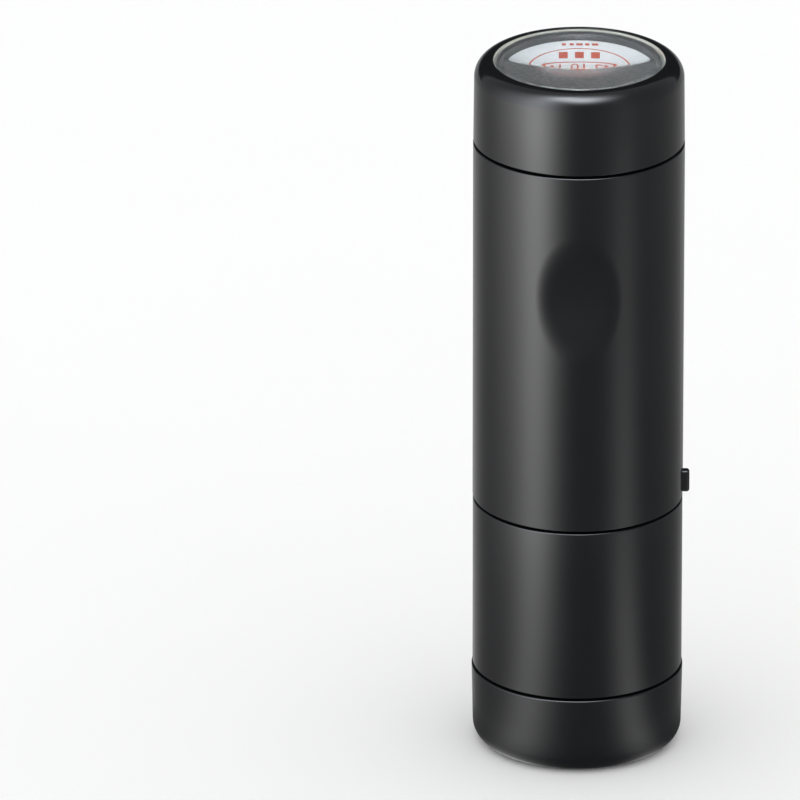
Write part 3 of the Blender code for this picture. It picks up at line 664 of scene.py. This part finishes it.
def refined(node, name, body, material, width, segments=2):
    """A flat-sided CAD piece with its faces whole again and its edges broken, as a stamped or moulded one has."""
    mesh = bpy.data.meshes.new(name)
    shape = bmesh.new()
    shape.from_mesh(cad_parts[node].data)
    bmesh.ops.remove_doubles(shape, verts=shape.verts, dist=1e-6)
    bmesh.ops.dissolve_limit(shape, angle_limit=math.radians(1), verts=shape.verts, edges=shape.edges)
    sharp = [e for e in shape.edges if len(e.link_faces) == 2 and e.calc_face_angle() > math.radians(30)]
    bmesh.ops.bevel(
        shape,
        geom=sharp,
        offset=width * MM,
        offset_type="OFFSET",
        segments=segments,
        profile=0.5,
        affect="EDGES",
        clamp_overlap=True,
    )
    shape.to_mesh(mesh)
    shape.free()
    return dress(mesh, name, body, material, node)


# ------------------------------------------------------------------------- digits and print
GLYPHS = {}


def glyph(text, height, width, depth):
    """Digits as a solid mesh: height tall at most width wide, centred on the origin, depth deep from z = 0 up."""
    if text not in GLYPHS:
        curve = bpy.data.curves.new("digits", "FONT")
        curve.body = text
        curve.resolution_u = 3
        curve.extrude = 0.5
        source = bpy.data.objects.new("digits", curve)
        bpy.context.scene.collection.objects.link(source)
        bpy.context.view_layer.update()
        mesh = bpy.data.meshes.new_from_object(source.evaluated_get(bpy.context.evaluated_depsgraph_get()))
        bpy.data.objects.remove(source, do_unlink=True)
        GLYPHS[text] = (
            np.array([v.co for v in mesh.vertices]),
            [list(p.vertices) for p in mesh.polygons],
        )
        bpy.data.meshes.remove(mesh)
    points, faces = GLYPHS[text]
    low, high = points.min(0), points.max(0)
    wide, tall, _ = high - low
    scale = np.array([min(width / wide, height / tall), height / tall, depth])
    return (points - (low + high) / 2) * scale + [0, 0, depth / 2], faces


def imprint(radius, depth, digits, row=2.0):
    """The layout of the stamp's print, flat on z = 0 to depth, as (points, faces) parts: a ring, the two lines of
    the date row, the digits, and a plain mark above and below. It reads upright with +Y up."""
    line = radius * 0.035
    inner = radius - line
    ring = revolve(np.array([(radius, depth), (radius, 0), (inner, 0), (inner, depth)]), FINE)
    parts = [(ring.reshape(-1, 3), grid_faces(4, FINE, wrap_rows=True))]
    half = math.sqrt(inner ** 2 - row ** 2)
    soft = depth * 0.2
    for side in (-1, 1):
        parts.append(block((-half, side * row - line / 2, 0), (half, side * row + line / 2, depth), soft, 1))
    if digits:
        parts.append(glyph(digits, row * 1.15, radius * 1.3, depth))
    upper = (row + radius) / 2
    size = (radius - row) * 0.5
    for i in range(3):
        wide = size * (0.45 + 0.4 * i)
        at = upper + size * (0.42 - 0.42 * i)
        parts.append(block((-wide, at - size * 0.11, 0), (wide, at + size * 0.11, depth), soft, 1))
    for i in range(3):
        at = (i - 1) * size * 0.8
        low, high = (at - size * 0.22, -upper - size * 0.45, 0), (at + size * 0.22, -upper + size * 0.45, depth)
        parts.append(block(low, high, soft, 1))
    return parts


def card_print():
    """A sample of the stamp's print, turned to be read from behind, and a row of bars at the card's far rim."""
    parts = imprint(5.7, 0.03, "25 10 18", 1.25)
    for i, wide in enumerate((0.5, 0.25, 0.5, 0.25, 0.25)):
        at = (i - 2) * 0.85
        parts.append(block((at - wide / 2 - 0.1, -7.3, 0), (at + wide / 2 + 0.1, -6.6, 0.03), 0.006, 1))
    points, faces = joined(*parts)
    points = points * [-1, -1, 1] + [0, 0, CARD_TOP]
    new_piece("card_print", points, faces, "crown_plug", INK, ())


# --------------------------------------------------------------------------- the printing head
def printing_head():
    slot_x = 5.6
    face = DIE_FOOT + 0.7
    base = disc_loops(DIE_R, slot_x, 2.4, face, DIE_TOP, 0.08)
    loops_piece("die_base", base, "stamp_body", DIE_RUBBER, "name_die")
    points, faces = joined(*imprint(DIE_R - 0.05, 0.8, "", 2.62))
    points = points * [-1, -1, -1] + [0, 0, face + 0.1]      # turned over to face down, which also mirrors it
    new_piece("die_relief", points, flipped(faces), "stamp_body", DIE_RUBBER, ())
    pad = disc_loops(PAD_R, slot_x, 3.4, PAD_FOOT, PAD_TOP, 0.35)
    loops_piece("ink_felt_pad", pad, "stamp_body", INK_FELT, "ink_pad")
    web = PAD_TOP + 0.3
    bore = 8.0
    angle_loops = disc_loops(bore, slot_x + 0.1, 3.7, web, web + 1.0, 0.0)
    circle = angle_loops[0] / [bore, bore, 1]
    edge = 0.1
    wall = [
        (bore, web + 1.0),
        (bore, HOLDER_TOP - edge),
        (bore + edge, HOLDER_TOP),
        (HOLDER_R - edge, HOLDER_TOP),
        (HOLDER_R, HOLDER_TOP - edge),
        (HOLDER_R, HOLDER_FOOT + edge),
        (HOLDER_R - edge, HOLDER_FOOT),
        (bore, HOLDER_FOOT),
        (bore, web),
    ]
    loops = [circle * [r, r, 0] + [0, 0, z] for r, z in wall] + angle_loops[4:]
    loops_piece("head_holder", loops, "stamp_body", FRAME_ACETAL, "die_holder")


# ------------------------------------------------------------------------ date bands and wheels
PITCH = 1.9
DRUM_R = 4.6
NOSE_HALF, NOSE_Z = 1.55, 5.95
SLACK = 0.15
BAND_T = 0.5


def band_middle(index):
    return (index - (WHEELS - 1) / 2) * PITCH


def band_route():
    """Points (y, z) and outward angles of a band's inner face: over the drum, and round the nose's two corners.
    The straight runs touch both circles."""
    drum, corner = DRUM_R + SLACK, SLACK
    slope = math.atan2(WHEEL_Z - NOSE_Z, -NOSE_HALF)
    lean = slope - math.acos((corner - drum) / math.hypot(NOSE_HALF, WHEEL_Z - NOSE_Z))
    parts = []

    def bend(y, z, radius, start, end, count):
        angle = np.linspace(start, end, count)
        parts.append(np.stack([y + radius * np.cos(angle), z + radius * np.sin(angle), angle], 1))

    def straight(start, end, count):
        parts.append(np.linspace(start, end, count + 1)[1:-1])

    bend(0, WHEEL_Z, drum, lean, math.pi - lean, 49)
    drum_run = parts[-1]
    bend(-NOSE_HALF, NOSE_Z, corner, math.pi - lean, 1.5 * math.pi, 7)
    left = parts.pop()
    straight(drum_run[-1], left[0], 30)
    parts.append(left)
    bend(NOSE_HALF, NOSE_Z, corner, 1.5 * math.pi, TAU + lean, 7)
    right = parts.pop()
    straight(left[-1], right[0], 6)
    parts.append(right)
    last = drum_run[0] + [0, 0, TAU]
    straight(right[-1], last, 30)
    return np.concatenate(parts)


def on_band(route, length, along, across, proud):
    """Places points on the band: a distance along its route from the middle of the nose, across it, and proud."""
    y = np.interp(along % length[-1], length, route[:, 0])
    z = np.interp(along % length[-1], length, route[:, 1])
    angle = np.interp(along % length[-1], length, route[:, 2])
    return np.stack([across, y + proud * np.cos(angle), z + proud * np.sin(angle)], -1)


BAND_TEXTS = (
    "0123456789",
    (" ", "1", "2", "3"),
    tuple(str(month) for month in range(1, 13)),
    "0123456789",
    "23456789",
)


def date_bands():
    route = band_route()
    step = np.hypot(*(np.diff(np.vstack([route, route[:1]])[:, :2], axis=0).T))
    length = np.concatenate([[0], np.cumsum(step)])
    route = np.vstack([route, route[:1] + [0, 0, TAU]])
    nose = np.interp(1.5 * math.pi, route[:, 2], length)
    section = rounded([(BAND_T, 0.6, 0.08), (BAND_T, -0.6, 0.08), (0, -0.6, 0.08), (0, 0.6, 0.08)], True, 3)
    count = 20
    spacing = length[-1] / count
    for i in range(WHEELS):
        middle = band_middle(i)
        steps = np.arange(240) / 240 * length[-1]
        proud, across = section[:, :1] + 0 * steps, middle + section[:, 1:] + 0 * steps
        belt = on_band(route, length, steps + 0 * proud, across, proud)
        parts = [(belt.reshape(-1, 3), grid_faces(len(section), len(steps), wrap_rows=True))]
        texts = BAND_TEXTS[i]
        for k in range(count):
            text = texts[(k + i) % len(texts)]
            if text == " ":
                continue
            points, faces = glyph(text, 2.1, 0.95, 0.22)
            raised = on_band(route, length, nose + k * spacing - points[:, 1], middle - points[:, 0],
                             BAND_T - 0.02 + points[:, 2])
            parts.append((raised, flipped(faces)))
        points, faces = joined(*parts)
        name, node = f"digit_band_{i + 1}", f"date_band_{i + 1}"
        new_piece(name, points, faces, "stamp_body", BAND_RUBBER, node)


def thumb_wheels():
    """Each wheel: r = root + (tip - root) s(cos 16 a) on its toothed rim, where s levels the crests and the
    valleys, and a plain drum beside it."""
    angle = np.arange(16 * 12) / (16 * 12) * TAU
    crest = 0.5 + 0.5 * np.tanh(2.4 * np.cos(16 * angle)) / math.tanh(2.4)
    root, tip, bore = 5.9, WHEEL_R, 0.85
    for i in range(WHEELS):
        left = band_middle(i) - 0.2 - 0.875
        hub_left, rim_right, right = left + 0.08, left + 0.4, left + 1.75
        rows = (
            (bore, right - 0.08, 0), (0.95, right, 0), (DRUM_R - 0.12, right, 0), (DRUM_R, right - 0.1, 0),
            (DRUM_R, rim_right + 0.12, 0), (DRUM_R + 0.1, rim_right, 0), (root - 0.1, rim_right, 0.85),
            (root, rim_right - 0.08, 1), (root, left + 0.08, 1), (root - 0.1, left, 0.85), (3.1, left, 0),
            (3.0, hub_left, 0), (1.0, hub_left, 0), (bore, hub_left + 0.1, 0),
        )
        r = np.array([row[0] + row[2] * (tip - root) * crest for row in rows])
        x = np.array([row[1] for row in rows])[:, None] + 0 * angle
        points = along_x(np.stack([r * np.cos(angle), r * np.sin(angle), x], -1))
        faces = grid_faces(len(rows), len(angle), wrap_rows=True)
        new_piece(f"thumb_wheel_{i + 1}", points.reshape(-1, 3), faces, f"wheel_{i + 1}", WHEEL_ACETAL,
                  f"date_wheel_{i + 1}")


def axle_and_frame():
    reach, radius = 7.5, 0.75
    groove = (6.85, 7.15)
    corners = [(0, reach), (radius, reach, 0.15)]
    corners += [(r, x, 0.04) for r, x in ((radius, groove[1]), (radius - 0.1, groove[1]))]
    corners += [(r, x, 0.04) for r, x in ((radius - 0.1, groove[0]), (radius, groove[0]))]
    corners += [(r, -x, *f) for r, x, *f in reversed(corners)]
    turned_x("ground_axle", corners, "stamp_body", STEEL, "wheel_axle")
    for side, node in (("left", "axle_spacer_left"), ("right", "axle_spacer_right")):
        low, high = (v.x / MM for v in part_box(node))
        ring = [(1.9, high, 0.08), (1.9, low, 0.08), (0.85, low, 0.08), (0.85, high, 0.08)]
        turned_x(f"spacer_{side}", ring, "stamp_body", FRAME_ACETAL, node)
        refined(f"axle_clip_{side}", f"e_clip_{side}", "stamp_body", STEEL, 0.04)
        refined(f"frame_plate_{side}", f"side_plate_{side}", "stamp_body", FRAME_ACETAL, 0.15)
    refined("frame_bridge", "top_bridge", "stamp_body", FRAME_ACETAL, 0.2)
    refined("detent_comb", "leaf_comb", "stamp_body", STEEL, 0.04)
    refined("band_nose", "nose_bar", "stamp_body", FRAME_ACETAL, 0.1)
    bore, edge = 8.15, 0.15
    ring = [
        (CHASSIS_R, CHASSIS_TOP, edge),
        (CHASSIS_R, CHASSIS_FOOT, edge),
        (bore, CHASSIS_FOOT, edge),
        (bore, CHASSIS_TOP, edge),
    ]
    turned("base_ring", ring, "stamp_body", FRAME_ACETAL, "chassis_ring", FINE)


def guide():
    """The sleeve that the barrel slides on, with a groove near its top for the rubber ring."""
    floor, screw_bore, bore = GUIDE_FOOT + 1.5, 1.25, 8.9
    groove_top, groove_foot, groove_r = 60.3, 59.0, 9.45
    corners = [
        (GUIDE_R, GUIDE_TOP, 0.15),
        (GUIDE_R, groove_top, 0.05),
        (groove_r, groove_top, 0.05),
        (groove_r, groove_foot, 0.05),
        (GUIDE_R, groove_foot, 0.05),
        (GUIDE_R, 58.3, 0.15),
        (9.75, 58.3, 0.2),
        (9.75, GUIDE_FOOT, 0.5),
        (screw_bore, GUIDE_FOOT, 0.1),
        (screw_bore, floor, 0.1),
        (bore, floor, 0.5),
        (bore, GUIDE_TOP, 0.15),
    ]
    turned("guide_sleeve", corners, "stamp_body", FRAME_ACETAL, "guide_tube", FINE)
    middle, minor = (RING_FOOT + RING_TOP) / 2, (RING_TOP - RING_FOOT) / 2
    turn = -np.arange(20) / 20 * TAU
    section = np.stack([RING_R - minor + minor * np.cos(turn), middle + minor * np.sin(turn)], 1)
    points, faces = revolve(section, FINE).reshape(-1, 3), grid_faces(20, FINE, wrap_rows=True)
    new_piece("guide_o_ring", points, faces, "stamp_body", SEAL_RUBBER, "guide_ring")


def frame_screw():
    """A pan-headed screw with a cross recess: its head dips where |x| or |y| is under a quarter millimetre."""
    _, foot, head = round_size("frame_screw")
    seat = head - 1.2
    top = np.stack([np.linspace(0, 1.55, 26), np.full(26, head)], 1)
    side = rounded([(1.55, head), (2.0, head - 0.35, 0.25), (2.0, seat, 0.05), (0.9, seat, 0.05)], False)
    pitch = 0.45
    thread_z = np.arange(seat - 0.2, foot + 0.6, -pitch / 4)
    crest = np.tile([0.9, 0.82, 0.72, 0.82], len(thread_z))[:len(thread_z)]
    outline = np.concatenate([top, side[1:], np.stack([crest, thread_z], 1), [[0.5, foot], [0, foot]]])
    points = revolve(outline, COARSE)
    x, y = points[..., 0], points[..., 1]
    arm = np.minimum(np.abs(x), np.abs(y))
    dip = np.clip((0.27 - arm) / 0.08, 0, 1) * np.clip((1.25 - np.hypot(x, y)) / 0.15, 0, 1) * 0.6
    points[:26, :, 2] -= dip[:26]
    new_piece("cross_screw", points.reshape(-1, 3), grid_faces(len(outline), COARSE), "stamp_body", STEEL,
              "frame_screw")


def spring():
    """A helix with dead end coils: z stays level for the first and the last 0.6 turn, and climbs in between as
    k - 0.06 sin(2 pi k)."""
    wire, turns = 0.3, 4.5
    radius = SPRING_R - wire
    count = 340
    share = np.linspace(0, 1, count)
    rise = np.clip((share * turns - 0.6) / (turns - 1.2), 0, 1)
    rise = rise - 0.06 * np.sin(TAU * rise)
    z = SPRING_FOOT + wire + (SPRING_TOP - SPRING_FOOT - 2 * wire) * rise
    angle = share * turns * TAU
    path = np.stack([radius * np.cos(angle), radius * np.sin(angle), z], 1)
    points, faces = tube(path, wire, 14)
    coil = new_piece("coil_spring", points, faces, "stamp_body", STEEL, "return_spring", 60)
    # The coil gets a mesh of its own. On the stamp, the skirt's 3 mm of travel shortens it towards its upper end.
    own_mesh(coil)


def lever():
    """The lock lever: a curved wall with a hook at one end and the tab that a finger moves."""
    _, foot, top = round_size("lock_lever")
    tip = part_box("lock_lever")[1].x / MM
    wall = bent_block(8.5, 9.4, -25, 12, foot, top, 0.2)
    hook = bent_block(9.2, 10.15, -23, -12.5, 31.1, top - 0.05, 0.2, 8)
    tab = block((9.2, -0.6, 29.3), (tip, 0.6, 31.9), 0.32, 5)
    points, faces = joined(wall, hook, tab)
    new_piece("lever_with_tab", points, faces, "lock", LEVER_ABS, "lock_lever")


barrel_lug()
card_print()
printing_head()
date_bands()
thumb_wheels()
axle_and_frame()
guide()
frame_screw()
spring()
lever()


# --------------------------------------------------------------------------------------- studio
# What the glossy black shows, as (azimuth, half width, near, far): soft panels round the stamp. Azimuth 0 is in
# front and +90 on the left. Near is the light from the table close to the foot, far from half a metre out.
PANELS = (
    (44, 15, 1.45, 4.00),       # the big softbox at the left front
    (70, 20, 0.12, 1.60),       # its diffuser's left half
    (-49, 11, 1.00, 0.18),      # a narrow strip at the right
    (0, 18, -0.02, -0.08),      # a black flag straight ahead
    (160, 26, 0.42, 0.15),      # the pale backdrop behind, left
    (-160, 26, 0.16, 0.12),     # and right
)
ROOM = (0.14, 0.30)             # the dim room between the panels, near and far
TRAY_NEAR, TRAY_FAR = 0.02, 0.24


def maths(tree, kind, *values):
    return add(tree, "ShaderNodeMath", dict(enumerate(values)), operation=kind).outputs[0]


def polar(tree, place):
    """Azimuth from the front, positive to the left, then the place's X, Y and Z."""
    parts = add(tree, "ShaderNodeSeparateXYZ", {0: place}).outputs
    left = maths(tree, "MULTIPLY", parts["X"], -1.0)
    ahead = maths(tree, "MULTIPLY", parts["Y"], -1.0)
    return maths(tree, "ARCTAN2", left, ahead), parts["X"], parts["Y"], parts["Z"]


def bell(tree, value, middle, half):
    """exp(-((value - middle) / half)^2 / 2), for angles given in degrees."""
    across = maths(tree, "SUBTRACT", value, math.radians(middle))
    across = maths(tree, "DIVIDE", across, math.radians(half))
    return maths(tree, "EXPONENT", maths(tree, "MULTIPLY", maths(tree, "MULTIPLY", across, across), -0.5))


def panels(tree, azimuth, nearness):
    """The light of all panels at an azimuth; nearness is 1 beside the foot and 0 far out."""
    total = maths(tree, "MULTIPLY_ADD", nearness, ROOM[0] - ROOM[1], ROOM[1])
    for middle, half, near, far in PANELS:
        level = maths(tree, "MULTIPLY_ADD", nearness, near - far, far)
        total = maths(tree, "MULTIPLY_ADD", bell(tree, azimuth, middle, half), level, total)
    return total


def stage_floor():
    """A pale sweep, so wide that its edge lies far outside the view."""
    half = 3.0
    mesh = bpy.data.meshes.new("studio_floor")
    mesh.from_pydata([(-half, -half, 0), (half, -half, 0), (half, half, 0), (-half, half, 0)], [], [(0, 1, 2, 3)])
    floor = bpy.data.objects.new("studio_floor", mesh)
    bpy.context.scene.collection.objects.link(floor)
    material, tree, shader = new_material("matt white paper sweep", Roughness=0.9, IOR=1.3)
    tree.links.new(tint(tree, grain(tree, 40.0), "#f6f6f6", "#f8f8f8"), shader.inputs["Base Color"])
    mesh.materials.append(material)
    floor.visible_glossy = False


def light_tray():
    """A glowing tray round the foot, seen only in the gloss: it stands for the light that the table throws up."""
    reach, depth = 1.0, -0.0004
    mesh = bpy.data.meshes.new("light_tray")
    corners = [(-reach, -reach, depth), (reach, -reach, depth), (reach, reach, depth), (-reach, reach, depth)]
    mesh.from_pydata(corners, [], [(0, 1, 2, 3)])
    tray = bpy.data.objects.new("light_tray", mesh)
    bpy.context.scene.collection.objects.link(tray)
    material = bpy.data.materials.new("glowing diffuser film")
    material.use_nodes = True
    tree = material.node_tree
    tree.nodes.clear()
    azimuth, x, y, _ = polar(tree, add(tree, "ShaderNodeTexCoord").outputs["Object"])
    away = maths(tree, "SQRT", maths(tree, "MULTIPLY_ADD", x, x, maths(tree, "MULTIPLY", y, y)))
    sockets = {"Value": away, "From Min": TRAY_NEAR, "From Max": TRAY_FAR, "To Min": 1.0, "To Max": 0.0}
    nearness = add(tree, "ShaderNodeMapRange", sockets, interpolation_type="LINEAR").outputs["Result"]
    # Right under the foot's round edge it's dark.
    sockets = {"Value": away, "From Min": 0.013, "From Max": 0.020, "To Min": 0.5, "To Max": 1.0}
    shade = add(tree, "ShaderNodeMapRange", sockets, interpolation_type="SMOOTHSTEP").outputs["Result"]
    strength = maths(tree, "MULTIPLY", panels(tree, azimuth, nearness), shade)
    glow = add(tree, "ShaderNodeEmission", {"Strength": strength})
    add(tree, "ShaderNodeOutputMaterial", {"Surface": glow.outputs[0]})
    mesh.materials.append(material)
    tray.visible_camera = tray.visible_diffuse = tray.visible_shadow = tray.visible_transmission = False


def studio_world():
    """The room. Its gloss has the same panels, a softbox overhead that leans to the front, and black cloth above
    the horizon at the back. Matt surfaces get an even dome, and the camera a pale backdrop."""
    world = bpy.data.worlds.new("studio")
    bpy.context.scene.world = world
    world.use_nodes = True
    tree = world.node_tree
    tree.nodes.clear()
    azimuth, x, y, z = polar(tree, add(tree, "ShaderNodeTexCoord").outputs["Generated"])
    total = panels(tree, azimuth, 0.0)
    tilt = maths(tree, "ARCTAN2", z, maths(tree, "MULTIPLY", y, -1.0))      # 90 degrees is overhead
    side = maths(tree, "ARCSINE", x)
    over = maths(tree, "MULTIPLY", bell(tree, tilt, 70, 13), bell(tree, side, 1, 12))
    total = maths(tree, "MULTIPLY_ADD", over, 13.0, total)
    # The cloth's edge: behind where y > 0.65 z + 1.2 x^2, and above the horizon.
    edge = maths(tree, "MULTIPLY_ADD", z, -0.65, y)
    edge = maths(tree, "MULTIPLY_ADD", maths(tree, "MULTIPLY", x, x), -1.2, edge)
    lit = {"Value": edge, "From Min": -0.02, "From Max": 0.02, "To Min": 0.0, "To Max": 1.0}
    above = {"Value": z, "From Min": -0.02, "From Max": 0.02, "To Min": 0.0, "To Max": 1.0}
    cloth = maths(
        tree,
        "MULTIPLY",
        add(tree, "ShaderNodeMapRange", lit, interpolation_type="SMOOTHSTEP").outputs["Result"],
        add(tree, "ShaderNodeMapRange", above, interpolation_type="SMOOTHSTEP").outputs["Result"],
    )
    # What shows through the clear lens sees the cloth less dark, as if it were farther off.
    rays = add(tree, "ShaderNodeLightPath").outputs
    dark = maths(tree, "MULTIPLY_ADD", rays["Is Transmission Ray"], 0.5, -0.97)
    total = maths(tree, "MULTIPLY", total, maths(tree, "MULTIPLY_ADD", cloth, dark, 1.0))
    room = add(tree, "ShaderNodeBackground", {"Color": linear("#f3f8ff"), "Strength": total})
    dome = add(tree, "ShaderNodeBackground", {"Color": linear("#ffffff"), "Strength": 1.06})
    backdrop = add(tree, "ShaderNodeBackground", {"Color": linear("#ffffff"), "Strength": 1.0})
    lights = add(tree, "ShaderNodeMixShader", {0: rays["Is Glossy Ray"], 1: dome.outputs[0], 2: room.outputs[0]})
    sockets = {0: rays["Is Camera Ray"], 1: lights.outputs[0], 2: backdrop.outputs[0]}
    add(tree, "ShaderNodeOutputWorld", {"Surface": add(tree, "ShaderNodeMixShader", sockets).outputs[0]})


def camera():
    """A long lens from 2 m, a little above the stamp, which stands right of the middle of the picture."""
    lens_mm, distance, pitch = 795.0, 2.012, math.radians(22.27)
    middle = Vector((0, 0, 0.04123))
    data = bpy.data.cameras.new("camera")
    data.lens = lens_mm
    data.sensor_width = 36.0
    data.clip_start, data.clip_end = 0.1, 20.0
    eye = bpy.data.objects.new("camera", data)
    bpy.context.scene.collection.objects.link(eye)
    eye.location = middle + Vector((0, -math.cos(pitch), math.sin(pitch))) * distance
    aim = middle - Vector((0.02027, 0, 0))
    eye.rotation_mode = "QUATERNION"
    eye.rotation_quaternion = (aim - eye.location).to_track_quat("-Z", "Y")
    bpy.context.scene.camera = eye


stage_floor()
light_tray()
studio_world()
camera()
bpy.context.scene.view_settings.view_transform = "Standard"
